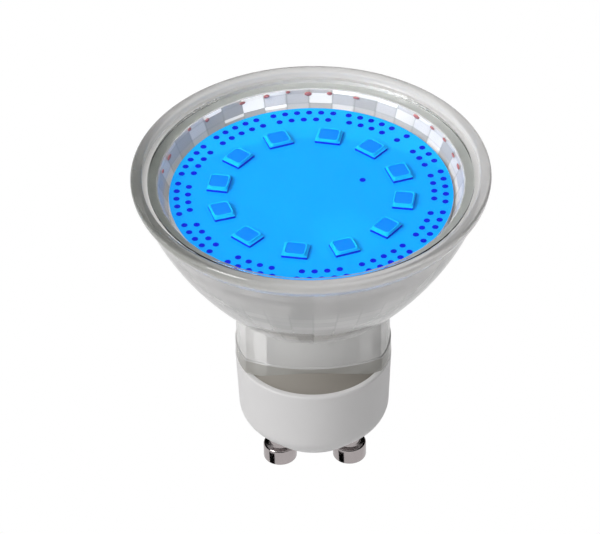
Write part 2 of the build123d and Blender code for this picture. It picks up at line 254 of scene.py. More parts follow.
class Finish:
    """One material under construction."""

    def __init__(self, name, tree=None):
        if tree is None:
            self.material = bpy.data.materials.new(name)
            self.material.use_nodes = True
            tree = self.material.node_tree
        self.tree = tree
        self.tree.nodes.clear()

    def add(self, kind, settings=None, sockets=None, output=0):
        """Add a node: its settings first, then the values or links of its sockets."""
        node = self.tree.nodes.new(kind)
        for name, value in (settings or {}).items():
            setattr(node, name, value)
        for name, value in (sockets or {}).items():
            if isinstance(value, Value):
                self.tree.links.new(value.socket, node.inputs[name])
            elif isinstance(value, tuple) and node.inputs[name].type == "RGBA":
                node.inputs[name].default_value = (*value[:3], 1.0)
            else:
                node.inputs[name].default_value = value
        return Value(self, node.outputs[output]) if node.outputs else None

    def place(self):
        """The point on the piece, in metres."""
        return self.add("ShaderNodeTexCoord", output="Object")

    def axes(self, vector):
        """The X, Y and Z of a vector as three values."""
        split = self.add("ShaderNodeSeparateXYZ", sockets={"Vector": vector})
        return split, split.of("Y"), split.of("Z")

    def noise(self, size, detail=2.0, stretch=(1.0, 1.0, 1.0)):
        """Noise between 0 and 1, with features of about that size in metres."""
        scaled = self.add(
            "ShaderNodeVectorMath", {"operation": "MULTIPLY"}, {0: self.place(), 1: stretch}
        )
        return self.add(
            "ShaderNodeTexNoise", sockets={"Vector": scaled, "Scale": 1.0 / size, "Detail": detail}
        )

    def cell(self, column, row):
        """A random number from 0 to 1 for each cell of a grid."""
        corner = self.add("ShaderNodeCombineXYZ", sockets={"X": column, "Y": row})
        return self.add("ShaderNodeTexWhiteNoise", {"noise_dimensions": "2D"}, {"Vector": corner})

    def distance(self, centre):
        """Distance of the point from a centre."""
        sockets = {0: self.place(), 1: centre}
        return self.add("ShaderNodeVectorMath", {"operation": "DISTANCE"}, sockets, output="Value")

    def blend(self, factor, first, second):
        """A colour between two colours."""
        return self.add(
            "ShaderNodeMix",
            {"data_type": "RGBA"},
            {0: factor, 6: first, 7: second},
            output=2,
        )

    def bump(self, height, strength, distance):
        """A bumped normal."""
        return self.add(
            "ShaderNodeBump", sockets={"Height": height, "Strength": strength, "Distance": distance}
        )

    def surface(self, sockets, lamps_pass=False):
        """End in a Principled shader. lamps_pass lets lamps shine through glass."""
        shader = self.add("ShaderNodeBsdfPrincipled", sockets=sockets)
        if lamps_pass:
            shadow = self.add("ShaderNodeLightPath", output="Is Shadow Ray")
            clear = self.add("ShaderNodeBsdfTransparent")
            shader = self.add("ShaderNodeMixShader", sockets={0: shadow, 1: shader, 2: clear})
        self.add("ShaderNodeOutputMaterial", sockets={"Surface": shader})
        return self.material


# ---- Finishes --------------------------------------------------------------------------------


def glass_finish(name, tint, roughness, ripple, ripple_size, clarity=1.0, smear=0.04, bending=1.5):
    """Glass with the slight ripple of a mould, a little milky where clarity is under 1."""
    finish = Finish(name)
    ripples = finish.noise(ripple_size, detail=1.0)
    smudge = finish.noise(4 * MM, detail=3.0)
    return finish.surface(
        {
            "Base Color": finish.blend(smudge * 0.15, tuple(tint), (0.72, 0.74, 0.73)),
            "Roughness": smudge * smear + roughness,
            "IOR": bending,
            "Transmission Weight": clarity,
            "Normal": finish.bump(ripples, 0.25, ripple),
        },
        lamps_pass=True,
    )


def facet_pattern(finish, settings):
    """The painted light and shade of each facet, the lines between them, and a second random number for
    each.
    """
    across, deep, high = finish.axes(finish.place())
    turn = deep.maths("ARCTAN2", deep, across) * (settings.columns / (2 * pi)) + settings.columns
    level = (high - CAVITY_Z) / settings.facet_height
    column, row = turn.maths("FLOOR", turn), level.maths("FLOOR", level)
    # Painted light and shade: a random tone for each facet.
    shade = finish.cell(column, row) * 0.5 + finish.cell(column, 77.0) * 0.5
    seam = (turn - column).off_middle().above(0.46, 0.04)
    joint = (level - row).off_middle().above(0.44, 0.06)
    return shade, seam * 0.5 + joint * 0.3, finish.cell(column, row + 31.0)


def pressed_finish(settings):
    """The smooth outside of the cup: slightly milky, with the facets' painted light and shade showing
    through the bowl, and painted shade on the rim's left and near side.
    """
    finish = Finish("pressed_glass")
    across, deep, high = finish.axes(finish.place())
    shade, lines, _ = facet_pattern(finish, settings)
    bowl = high.above(CAVITY_Z + 0.3 * MM, 0.3 * MM) * (1.0 - high.above(BOARD_LOW.z - 3 * MM, 1.5 * MM))
    # The facets' painted light and shade, seen through the bowl.
    deep_tone = finish.blend(shade.above(0.5, 0.35), (0.78, 0.79, 0.78), (1.0, 1.0, 1.0))
    seen = finish.blend(lines * 0.6, deep_tone, (0.55, 0.56, 0.56))
    # Painted shade: the rim's base colour turns to the rim shade colour on the left and near side.
    rim = high.above(GLASS_HIGH.z - 1.6 * MM, 1.0 * MM)
    shaded = (1.0 - across.above(-6 * MM, 14 * MM)) * (1.0 - deep.above(9 * MM, 9 * MM))
    body = finish.blend(rim * shaded, tuple(settings.tint), tuple(settings.rim_shade))
    ripples = finish.noise(3 * MM, detail=1.0)
    smudge = finish.noise(4 * MM, detail=3.0)
    return finish.surface(
        {
            "Base Color": finish.blend(bowl, body, seen),
            "Roughness": smudge * 0.04,
            "IOR": 1.5,
            "Transmission Weight": settings.clarity,
            "Normal": finish.bump(ripples, 0.25, 0.02 * MM),
        },
        lamps_pass=True,
    )


def facet_finish(settings):
    """Pressed glass facets in columns and rows, each painted paler or darker at random to stand in for how
    it catches the light.
    """
    finish = Finish("moulded_facets")
    _, deep, high = finish.axes(finish.place())
    shade, lines, chance = facet_pattern(finish, settings)
    pale = finish.blend(shade.above(0.5, 0.3), tuple(settings.facet_dark), tuple(settings.facet_pale))
    wall = high.above(BOARD_HIGH.z, 0.1 * MM)
    # Painted glint: a few random facets on the far wall emit white light, though the glass is no lamp.
    painted_glint = chance.above(0.80, 0.02) * wall * deep.above(14 * MM, 5 * MM)
    return finish.surface(
        {
            "Base Color": finish.blend(lines, pale, (0.26, 0.27, 0.26)),
            "Roughness": shade * 0.15 + settings.mould_roughness,
            "IOR": 1.5,
            "Transmission Weight": settings.facet_clarity,
            "Emission Color": finish.blend(painted_glint, (0.0, 0.0, 0.0), (1.0, 1.0, 1.0)),
            "Emission Strength": 0.5,
        },
        lamps_pass=True,
    )


def ledge_finish(settings):
    """Dull glass of the ledge under the cover's edge, with painted shade that is darkest on the left."""
    finish = Finish("ledge_glass")
    across, deep, _ = finish.axes(finish.place())
    # Painted light and shade: the ledge runs from its dark colour on the left and near side to its lit
    # colour on the right and far side.
    lit = across.above(-6 * MM, 20 * MM) * 0.6 + deep.above(12 * MM, 8 * MM) * 0.6
    mottle = finish.noise(2 * MM, detail=2.0, stretch=(1.0, 1.0, 3.0))
    tone = finish.blend(lit + mottle * 0.2 - 0.1, tuple(settings.ledge_dark), tuple(settings.ledge_lit))
    return finish.surface(
        {
            "Base Color": tone,
            "Roughness": mottle * 0.2 + 0.3,
            "IOR": 1.5,
            "Transmission Weight": 0.15,
        },
        lamps_pass=True,
    )


def plastic_finish(name, tint, roughness, grain_size, grain_depth, shade=0.92):
    """Moulded plastic with a fine grain and faint flow marks."""
    finish = Finish(name)
    grain = finish.noise(grain_size, detail=2.0)
    flow = finish.noise(9 * MM, detail=2.0, stretch=(1.0, 1.0, 0.4))
    darker = tuple(channel * shade for channel in tint)
    return finish.surface(
        {
            "Base Color": finish.blend(flow, tuple(tint), darker),
            "Roughness": grain * 0.08 + roughness,
            "Normal": finish.bump(grain, 0.3, grain_depth),
        }
    )


def plated_finish(tint):
    """Nickel plating with fine turning marks round the pin."""
    finish = Finish("nickel_plating")
    turning = finish.noise(0.12 * MM, detail=1.0, stretch=(0.02, 0.02, 1.0))
    dull = finish.noise(1.5 * MM, detail=3.0)
    return finish.surface(
        {
            "Base Color": finish.blend(dull, tuple(tint), tuple(channel * 0.85 for channel in tint)),
            "Metallic": 1.0,
            "Roughness": dull * 0.10 + 0.10,
            "Normal": finish.bump(turning, 0.2, 0.004 * MM),
        }
    )


def board_finish(settings):
    """Glossy blue solder mask on top, bare metal on the edge and underneath."""
    finish = Finish("blue_solder_mask")
    facing = finish.axes(finish.add("ShaderNodeTexCoord", output="Normal"))[2]
    top = facing.above(0.5, 0.1)
    cloud = finish.noise(7 * MM, detail=2.0)
    orange_peel = finish.noise(0.5 * MM, detail=1.0)
    mask = tuple(settings.mask)
    paler = (mask[0] + 0.003, mask[1] * 1.25, mask[2])
    # Painted reflection: the mask turns paler beyond a wide arc on the far side; a paler round patch
    # towards the front right and soft random clouds vary it too.
    far_reflection = finish.distance((0.0, -13.2 * MM, BOARD_HIGH.z)).above(26.0 * MM, 0.5 * MM)
    spot = 1.0 - finish.distance((4.5 * MM, -9.0 * MM, BOARD_HIGH.z)).above(3.5 * MM, 3.5 * MM)
    tone = finish.blend(far_reflection * 0.75 + spot * 0.5 + cloud * 0.15, mask, paler)
    return finish.surface(
        {
            "Base Color": finish.blend(top, (0.55, 0.56, 0.58), tone),
            "Roughness": orange_peel * 0.1 + 0.4,
            "Specular IOR Level": 0.06,
            # Painted glow: the top face emits its own colour, though the board is no lamp.
            "Emission Color": finish.blend(top, (0.0, 0.0, 0.0), tone),
            "Emission Strength": settings.painted_glow,
            "Normal": finish.bump(orange_peel, 0.15, 0.01 * MM),
        }
    )


def lit_plastic(name, tint, painted_glow, roughness=0.3):
    """Blue moulded plastic or gel with the board's painted glow, an emission of its own colour though it is
    no lamp.
    """
    finish = Finish(name)
    mottle = finish.noise(0.6 * MM, detail=2.0)
    shade = tuple(channel * 0.9 for channel in tint)
    tone = finish.blend(mottle, tuple(tint), shade)
    return finish.surface(
        {
            "Base Color": tone,
            "Roughness": mottle * 0.1 + roughness,
            "Specular IOR Level": 0.06,
            "Emission Color": tone,
            "Emission Strength": painted_glow,
            "Normal": finish.bump(mottle, 0.1, 0.01 * MM),
        }
    )


# ---- Mesh helpers ----------------------------------------------------------------------------


def value_at(size, angle):
    """A ring's radius or height is a number, or a function of the angle."""
    return size(angle) if callable(size) else size


def lathe(name, rings, segments=180, close=True, smooth_angle=radians(28)):
    """A mesh object through rings of (radius, height), from first to last.

    With close, the last ring joins the first. Otherwise both ends are capped.
    """
    mesh = bpy.data.meshes.new(name)
    build = bmesh.new()
    loops = []
    for radius, height in rings:
        loop = []
        for step in range(segments):
            angle = 2 * pi * step / segments
            reach = value_at(radius, angle)
            point = (reach * cos(angle), reach * sin(angle), value_at(height, angle))
            loop.append(build.verts.new(point))
        loops.append(loop)
    pairs = list(zip(loops, loops[1:]))
    if close:
        pairs.append((loops[-1], loops[0]))
    else:
        build.faces.new(loops[0])
        build.faces.new(loops[-1])
    for low, high in pairs:
        for step in range(segments):
            after = (step + 1) % segments
            build.faces.new((low[step], low[after], high[after], high[step]))
    bmesh.ops.recalc_face_normals(build, faces=build.faces)
    build.to_mesh(mesh)
    build.free()
    piece = bpy.data.objects.new(name, mesh)
    bpy.context.scene.collection.objects.link(piece)
    smooth(piece, smooth_angle)
    return piece


def smooth(piece, angle):
    """Shade a mesh smooth, apart from edges sharper than the angle."""
    piece.data.shade_smooth()
    piece.data.set_sharp_from_angle(angle=angle)


def add_piece(piece, material, replaced=()):
    """Give a piece its finish and body, and hide the CAD nodes that it stands for."""
    if material is not None:
        piece.data.materials.append(material)
    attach(piece, BODY)
    if replaced:
        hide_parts(*replaced)


def dress(node, material):
    """Give a CAD node a better material."""
    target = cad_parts[node]
    target.data.materials.clear()
    target.data.materials.append(material)


def arc_rings(centre, radius, start, end, count):
    """Points of a rounded edge in the section plane, from one angle to another in degrees."""
    steps = [radians(start + (end - start) * index / (count - 1)) for index in range(count)]
    return [(centre[0] + radius * cos(turn), centre[1] + radius * sin(turn)) for turn in steps]


# ---- Outlines of the glass cup ---------------------------------------------------------------


def oblong(settings, inset):
    """Radius of the neck's plan outline, moved inwards by inset, as a function of the angle."""
    ends = settings.neck_radius - inset
    bulge = settings.flat_bulge - inset
    offset = settings.flat_bulge - settings.neck_flat

    def radius(angle):
        side = abs(sin(angle))
        flat = sqrt((offset * side) ** 2 + bulge**2 - offset**2) - offset * side
        return min(ends, flat)

    return radius


def mixed(first, second, share):
    """An outline between two outlines."""
    return lambda angle: value_at(first, angle) * (1 - share) + value_at(second, angle) * share


def faceted(apothem, columns, lean=None):
    """Radius of a polygon with flat facets. lean adds a small offset to each column."""

    def radius(angle):
        turn = angle / (2 * pi) * columns
        column = int(turn + 1e-6) % columns
        across = (turn - int(turn + 1e-6) - 0.5) * 2 * pi / columns
        return apothem / cos(across) + (lean[column] if lean else 0.0)

    return radius


# ---- Operators: one for each piece or group of like pieces -------------------------------------


class BuildGlassCup(bpy.types.Operator):
    """Build the pressed glass cup, from the spigot up to the lip and down its faceted inside"""

    bl_idname = "bulb.glass_cup"
    bl_label = "Glass Cup"

    def outer_rings(self, settings):
        """From the spigot's lower edge up to the lip."""
        spigot = oblong(settings, settings.neck_radius - BASE_BORE_RADIUS + SPIGOT_CLEARANCE)
        foot = oblong(settings, -FOOT_STEP)
        neck = oblong(settings, 0.0)
        foot_z = BASE_HIGH.z
        step_z = foot_z + FOOT_HEIGHT
        bowl_z = step_z + NECK_HEIGHT
        rings = [
            (spigot, GLASS_LOW.z),
            (spigot, foot_z),
            (mixed(spigot, foot, 0.85), foot_z + 0.01 * MM),
            (foot, foot_z + 0.2 * MM),
            (foot, step_z - 0.25 * MM),
            (mixed(foot, neck, 0.3), step_z - 0.08 * MM),
            (neck, step_z),
            (neck, bowl_z - 0.25 * MM),
            (mixed(neck, 11.6 * MM, 0.3), bowl_z - 0.08 * MM),
            (11.6 * MM, bowl_z),
            (11.95 * MM, bowl_z + 0.12 * MM),
            (12.15 * MM, bowl_z + 0.35 * MM),
        ]
        return rings + self.bowl_rings(bowl_z)

    def bowl_rings(self, bowl_z):
        """The smooth outside of the bowl and the rim flange."""
        flange_z = GLASS_HIGH.z - 2.85 * MM
        low, high = 12.0 * MM, 23.7 * MM
        count = 26
        rings = []
        for index in range(1, count + 1):
            share = index / count
            radius = low + (high - low) * share + 4 * 1.4 * MM * share * (1 - share)
            rings.append((radius, bowl_z + (flange_z - bowl_z) * share))
        top = GLASS_HIGH.z
        rings += [
            (24.05 * MM, top - 2.4 * MM),
            (24.45 * MM, top - 1.9 * MM),
            (24.75 * MM, top - 1.4 * MM),
            (24.93 * MM, top - 0.95 * MM),
            (RIM_RADIUS, top - 0.55 * MM),
        ]
        rings += arc_rings((RIM_RADIUS - 0.45 * MM, top - 0.45 * MM), 0.45 * MM, 10, 90, 6)
        rings += arc_rings((RECESS_RADIUS + 0.35 * MM, top - 0.35 * MM), 0.35 * MM, 90, 180, 5)
        return rings

    def inner_rings(self, settings):
        """Down the recess, over the ledge, down the faceted pocket and bowl, and through the neck."""
        columns = settings.columns
        ledge_z = COVER_LOW.z
        seat_z = BOARD_LOW.z
        rings = [
            (RECESS_RADIUS, ledge_z + 0.15 * MM),
            (RECESS_RADIUS - 0.12 * MM, ledge_z),
            (faceted(21.35 * MM, columns), ledge_z),
            (faceted(21.2 * MM, columns), ledge_z - 0.1 * MM),
            (faceted(BOARD_RADIUS + 0.12 * MM, columns), seat_z),
        ]
        random = Random(7)
        cavity_z = CAVITY_Z
        top_radius, bottom_radius = BOARD_RADIUS - 0.85 * MM, 9.6 * MM
        rows = round((seat_z - cavity_z) / settings.facet_height)
        for row in range(rows):
            for edge in (0.0, 0.93):
                share = 1 - (row + edge) / rows
                apothem = bottom_radius + (top_radius - bottom_radius) * share
                apothem += 4 * 0.9 * MM * share * (1 - share)
                lean = [random.uniform(-1, 0) * settings.facet_tilt for _ in range(columns)]
                rings.append((faceted(apothem, columns, lean), cavity_z + (seat_z - cavity_z) * share))
        passage = oblong(settings, settings.wall)
        rings += [
            (faceted(bottom_radius, columns), cavity_z),
            (mixed(bottom_radius, passage, 0.6), cavity_z - 0.1 * MM),
            (passage, cavity_z - 0.4 * MM),
            (passage, GLASS_LOW.z),
        ]
        return rings

    def execute(self, context):
        settings = context.scene.bulb_glass
        rings = self.outer_rings(settings) + self.inner_rings(settings)
        cup = lathe("glass_cup_visual", rings, segments=400, smooth_angle=radians(14))
        add_piece(cup, pressed_finish(settings), ["glass_cup"])
        cup.data.materials.append(facet_finish(settings))
        cup.data.materials.append(ledge_finish(settings))
        # Painted shade: the foot glass is tinted dark for the shaded inside seen through it.
        foot = glass_finish("foot_glass", settings.foot_painted_shade, 0.0, 0.04 * MM, 2 * MM, settings.foot_clarity)
        cup.data.materials.append(foot)
        for face in cup.data.polygons:
            centre = face.center
            inside = hypot(centre.x, centre.y) < BOARD_RADIUS + 1.3 * MM and centre.z > CAVITY_Z - 0.4 * MM
            facing_axis = face.normal.x * centre.x + face.normal.y * centre.y < 0
            level = face.normal.z > 0.8 and COVER_LOW.z - 0.05 * MM < centre.z < COVER_LOW.z + 0.1 * MM
            if inside and facing_axis:
                face.material_index = 1
            elif level and hypot(centre.x, centre.y) < RECESS_RADIUS:
                face.material_index = 2
            elif BASE_HIGH.z < centre.z < BASE_HIGH.z + 2.4 * MM:
                face.material_index = 3
        return {"FINISHED"}


class BuildCoverGlass(bpy.types.Operator):
    """Build the flat cover glass with its ground edge"""

    bl_idname = "bulb.cover_glass"
    bl_label = "Cover Glass"

    def execute(self, context):
        settings = context.scene.bulb_glass
        bottom = COVER_LOW.z + 0.02 * MM
        top = COVER_HIGH.z
        edge = 0.14 * MM
        rings = [(COVER_RADIUS * share, bottom) for share in (0.3, 0.6, 0.9)]
        rings += [
            (COVER_RADIUS - edge, bottom),
            (COVER_RADIUS, bottom + edge),
            (COVER_RADIUS, top - edge),
            (COVER_RADIUS - edge, top),
        ]
        rings += [(COVER_RADIUS * share, top) for share in (0.9, 0.6, 0.3)]
        cover = lathe("cover_glass_visual", rings, segments=240, close=False)
        material = glass_finish(
            "cover_glass_clear", settings.cover_tint, 0.0, 0.0, 12 * MM, smear=0.0, bending=1.2
        )
        add_piece(cover, material, ["cover_glass"])
        return {"FINISHED"}


class BuildSeal(bpy.types.Operator):
    """Build the uneven bead of clear adhesive round the cover glass"""

    bl_idname = "bulb.seal"
    bl_label = "Cover Seal"

    def execute(self, context):
        settings = context.scene.bulb_glass
        random = Random(11)
        waves = [(random.randint(9, 70), random.uniform(0, 2 * pi)) for _ in range(8)]

        def lump(angle):
            return sum(sin(count * angle + phase) for count, phase in waves) / len(waves)

        top = SEAL_HIGH.z - 0.15 * MM
        inner, outer = COVER_RADIUS + 0.02 * MM, RECESS_RADIUS - 0.02 * MM
        middle = (inner + outer) / 2
        bottom = SEAL_LOW.z + 0.02 * MM
        rings = [
            (inner, bottom),
            (outer, bottom),
            (outer, lambda angle: top + 0.1 * MM + settings.seal_lumps * lump(angle)),
            (middle + 0.15 * MM, lambda angle: top - 0.05 * MM + settings.seal_lumps * lump(angle)),
            (middle - 0.15 * MM, lambda angle: top - 0.05 * MM + settings.seal_lumps * lump(angle + 0.02)),
            (inner, lambda angle: top + settings.seal_lumps * lump(angle + 0.03)),
        ]
        bead = lathe("cover_seal_visual", rings, segments=720, smooth_angle=radians(60))
        material = glass_finish("clear_adhesive", (0.80, 0.79, 0.78), 0.08, 0.05 * MM, 0.7 * MM, 0.4)
        add_piece(bead, material, ["cover_seal"])
        return {"FINISHED"}


class BuildDabs(bpy.types.Operator):
    """Build the small dull red dabs of sealing compound under the cover's edge"""

    bl_idname = "bulb.dabs"
    bl_label = "Sealing Dabs"

    def execute(self, context):
        columns = context.scene.bulb_glass.columns
        random = Random(5)
        build = bmesh.new()
        for column in range(columns):
            angle = 2 * pi * column / columns
            if sin(angle) < 0.1 or random.random() < 0.2:
                continue
            angle += random.uniform(-0.02, 0.02)
            size = random.uniform(0.2, 0.36) * MM
            height = COVER_LOW.z - random.uniform(0.15, 0.6) * MM
            reach = 21.02 * MM - (COVER_LOW.z - height) * 0.42
            spot = Matrix.Translation((reach * cos(angle), reach * sin(angle), height))
            stretch = Matrix.Diagonal((0.5, random.uniform(1.2, 2.2), 1.0, 1.0))
            shape = spot @ Matrix.Rotation(angle, 4, "Z") @ stretch
            bmesh.ops.create_icosphere(build, subdivisions=2, radius=size, matrix=shape)
        mesh = bpy.data.meshes.new("sealing_dabs")
        build.to_mesh(mesh)
        build.free()
        dabs = bpy.data.objects.new("sealing_dabs", mesh)
        context.scene.collection.objects.link(dabs)
        smooth(dabs, radians(80))
        material = plastic_finish("red_compound", (0.50, 0.16, 0.15), 0.5, 0.1 * MM, 0.01 * MM)
        add_piece(dabs, material)
        return {"FINISHED"}


class BuildBoard(bpy.types.Operator):
    """Finish the LED board and line its holes"""

    bl_idname = "bulb.board"
    bl_label = "LED Board"

    def hole_places(self):
        """Angle in degrees and ring radius of each hole, sector by sector between the LEDs."""
        places = [(22.5, 7.8 * MM)]
        for sector, start in enumerate(LED_ANGLES):
            end = LED_ANGLES[(sector + 1) % len(LED_ANGLES)]
            middle = start + (end - start) % 360 / 2 - 1.2
            inner_count = 5 if sector in (0, 2, 3, 9) else 4
            outer_count = 6 if sector == 2 else 5
            rows = (
                (BOARD_RADIUS - 2.65 * MM, inner_count, 5.8),
                (BOARD_RADIUS - 1.05 * MM, outer_count, 5.25),
            )
            for reach, count, pitch in rows:
                angles = [middle + (index - (count - 1) / 2) * pitch for index in range(count)]
                if sector == 0:
                    del angles[3]
                places += [(angle, reach) for angle in angles]
        return places

    def execute(self, context):
        settings = context.scene.bulb_board
        dress("led_board", board_finish(settings))
        build = bmesh.new()
        depth = 0.4 * MM
        for angle, reach in self.hole_places():
            turn = radians(angle)
            centre = (reach * cos(turn), reach * sin(turn), BOARD_HIGH.z + 0.006 * MM - depth / 2)
            bmesh.ops.create_cone(
                build,
                cap_ends=True,
                segments=24,
                radius1=settings.hole_radius,
                radius2=settings.hole_radius,
                depth=depth,
                matrix=Matrix.Translation(centre),
            )
        mesh = bpy.data.meshes.new("hole_linings")
        build.to_mesh(mesh)
        build.free()
        linings = bpy.data.objects.new("hole_linings", mesh)
        context.scene.collection.objects.link(linings)
        material = lit_plastic("hole_mask", settings.hole, settings.painted_glow, 0.6)
        add_piece(linings, material)
        return {"FINISHED"}


class BuildLeds(bpy.types.Operator):
    """Build the LED packages: a housing with rounded edges, and the gel in its window"""

    bl_idname = "bulb.leds"
    bl_label = "LED Packages"

    def rounded(self, build, half_x, half_y, corner, height, corner_steps=5):
        """One loop of a rounded rectangle at a height."""
        loop = []
        for quarter in range(4):
            sign_x = 1 if quarter in (0, 3) else -1
            sign_y = 1 if quarter in (0, 1) else -1
            for step in range(corner_steps + 1):
                turn = radians(90 * (quarter + step / corner_steps))
                x = sign_x * (half_x - corner) + corner * cos(turn)
                y = sign_y * (half_y - corner) + corner * sin(turn)
                loop.append(build.verts.new((x, y, height)))
        return loop

    def stack(self, name, levels):
        """A closed mesh through rounded rectangles: (half x, half y, corner, height)."""
        build = bmesh.new()
        loops = [self.rounded(build, *level) for level in levels]
        for low, high in zip(loops, loops[1:]):
            for step in range(len(low)):
                after = (step + 1) % len(low)
                build.faces.new((low[step], low[after], high[after], high[step]))
        build.faces.new(loops[0])
        build.faces.new(loops[-1])
        bmesh.ops.recalc_face_normals(build, faces=build.faces)
        mesh = bpy.data.meshes.new(name)
        build.to_mesh(mesh)
        build.free()
        return mesh

    def execute(self, context):
        settings = context.scene.bulb_board
        half_x, half_y = settings.package_length / 2, settings.package_width / 2
        win_x, win_y = settings.window_length / 2, settings.window_width / 2
        tall = box(LED_NODES[0])[1].z - BOARD_HIGH.z
        corner = 0.12 * MM
        housing_mesh = self.stack(
            "led_housing_shape",
            [
                (half_x, half_y, corner, 0.0),
                (half_x, half_y, corner, 0.36 * MM),
                (half_x - 0.03 * MM, half_y - 0.03 * MM, corner, 0.39 * MM),
                (win_x + 0.26 * MM, win_y + 0.22 * MM, 0.4 * MM, 0.44 * MM),
                (win_x + 0.20 * MM, win_y + 0.17 * MM, 0.5 * MM, tall - 0.06 * MM),
                (win_x + 0.15 * MM, win_y + 0.12 * MM, 0.5 * MM, tall),
                (win_x + 0.03 * MM, win_y + 0.03 * MM, 0.45 * MM, tall),
                (win_x, win_y, 0.4 * MM, tall - 0.04 * MM),
                (win_x - 0.2 * MM, win_y - 0.2 * MM, 0.35 * MM, tall - 0.42 * MM),
            ],
        )
        gel_mesh = self.stack(
            "led_gel_shape",
            [
                (win_x - 0.22 * MM, win_y - 0.22 * MM, 0.35 * MM, tall - 0.41 * MM),
                (win_x - 0.03 * MM, win_y - 0.03 * MM, 0.48 * MM, tall - 0.12 * MM),
                (win_x - 0.03 * MM, win_y - 0.03 * MM, 0.48 * MM, tall - 0.09 * MM),
                (win_x - 0.35 * MM, win_y - 0.35 * MM, 0.3 * MM, tall - 0.07 * MM),
            ],
        )
        border = lit_plastic("led_border", settings.border, settings.painted_glow, 0.35)
        side = lit_plastic("led_side_painted_shade", settings.side, settings.painted_glow, 0.5)
        gel = lit_plastic("led_window", settings.window, settings.painted_glow, 0.15)
        housing_mesh.materials.append(border)
        housing_mesh.materials.append(side)
        gel_mesh.materials.append(gel)
        # Painted shade: the lower side walls outside the window take the darker side colour.
        for face in housing_mesh.polygons:
            outside = abs(face.center.x) > win_x + 0.06 * MM or abs(face.center.y) > win_y + 0.06 * MM
            if outside and face.normal.z < 0.35 and face.center.z < 0.36 * MM:
                face.material_index = 1
        for mesh in (housing_mesh, gel_mesh):
            mesh.shade_smooth()
            mesh.set_sharp_from_angle(angle=radians(35))
        for angle, led_node, gel_node in zip(LED_ANGLES, LED_NODES, GEL_NODES):
            turn = radians(angle)
            spot = Matrix.Translation(
                (settings.ring_radius * cos(turn), settings.ring_radius * sin(turn), BOARD_HIGH.z)
            )
            place = spot @ Matrix.Rotation(turn + pi / 2, 4, "Z")
            for name, mesh, slot, node in (
                (f"{led_node}_visual", housing_mesh, "led_housing", led_node),
                (f"{gel_node}_visual", gel_mesh, "led_gel", gel_node),
            ):
                piece = bpy.data.objects.new(name, mesh)
                context.scene.collection.objects.link(piece)
                piece.matrix_world = place
                add_piece(piece, None, [node])
        return {"FINISHED"}


class BuildBase(bpy.types.Operator):
    """Finish the moulded base and build the cement between it and the glass"""

    bl_idname = "bulb.base"
    bl_label = "Base"

    def execute(self, context):
        settings = context.scene.bulb_base
        glass = context.scene.bulb_glass
        plastic = plastic_finish("base_plastic", settings.plastic, 0.38, 0.25 * MM, 0.01 * MM, 0.97)
        dress("base_cup", plastic)
        spigot = oblong(glass, glass.neck_radius - BASE_BORE_RADIUS + SPIGOT_CLEARANCE)
        foot = oblong(glass, -0.17 * MM)
        rim_z = BASE_HIGH.z

        def inner(angle):
            return min(foot(angle), BASE_BORE_RADIUS - 0.02 * MM)

        def rise(angle):
            gap = BASE_BORE_RADIUS - foot(angle)
            return rim_z - 0.05 * MM + max(gap, 0.0) * 0.66

        def slope(angle):
            return rim_z - 0.05 * MM + (rise(angle) - rim_z) * 0.45

        rings = [
            (spigot, CEMENT_LOW.z),
            (BASE_BORE_RADIUS - 0.01 * MM, CEMENT_LOW.z),
            (BASE_BORE_RADIUS - 0.01 * MM, rim_z - 0.12 * MM),
            (mixed(BASE_BORE_RADIUS, inner, 0.12), lambda angle: rim_z - 0.06 * MM),
            (mixed(BASE_BORE_RADIUS, inner, 0.6), slope),
            (inner, rise),
            (inner, lambda angle: rim_z - 0.07 * MM),
            (spigot, rim_z - 0.07 * MM),
        ]
        cement = lathe("base_cement_visual", rings, segments=180, smooth_angle=radians(40))
        material = plastic_finish("cement", settings.cement, 0.6, 0.3 * MM, 0.02 * MM, 0.94)
        add_piece(cement, material, ["base_cement"])
        return {"FINISHED"}


class BuildPins(bpy.types.Operator):
    """Build the two turned contact pins"""

    bl_idname = "bulb.pins"
    bl_label = "Contact Pins"

    def execute(self, context):
        material = plated_finish(context.scene.bulb_base.plating)
        head = 2.4 * MM
        neck = 1.55 * MM
        collar_z = BASE_LOW.z + 1.6 * MM
        edge = 0.28 * MM
        rings = [(head * 0.3, 0.0), (head * 0.6, 0.0)]
        rings += arc_rings((head - edge, edge), edge, -90, 0, 6)
        rings += arc_rings((head - edge, 2.6 * MM - edge), edge, 0, 90, 6)
        rings += [
            (neck + 0.3 * MM, 2.6 * MM),
            (neck + 0.08 * MM, 2.68 * MM),
            (neck, 2.9 * MM),
            (neck, collar_z),
            (2.2 * MM, collar_z),
            (2.2 * MM, PIN_HIGH.z),
            (0.6 * MM, PIN_HIGH.z),
        ]
        for side in ("left", "right"):
            node = f"contact_pin_{side}"
            low, high = box(node)
            pin = lathe(f"{node}_visual", rings, segments=96, close=False)
            pin.data.transform(Matrix.Translation(((low.x + high.x) / 2, 0.0, 0.0)))
            add_piece(pin, material, [node])
        return {"FINISHED"}


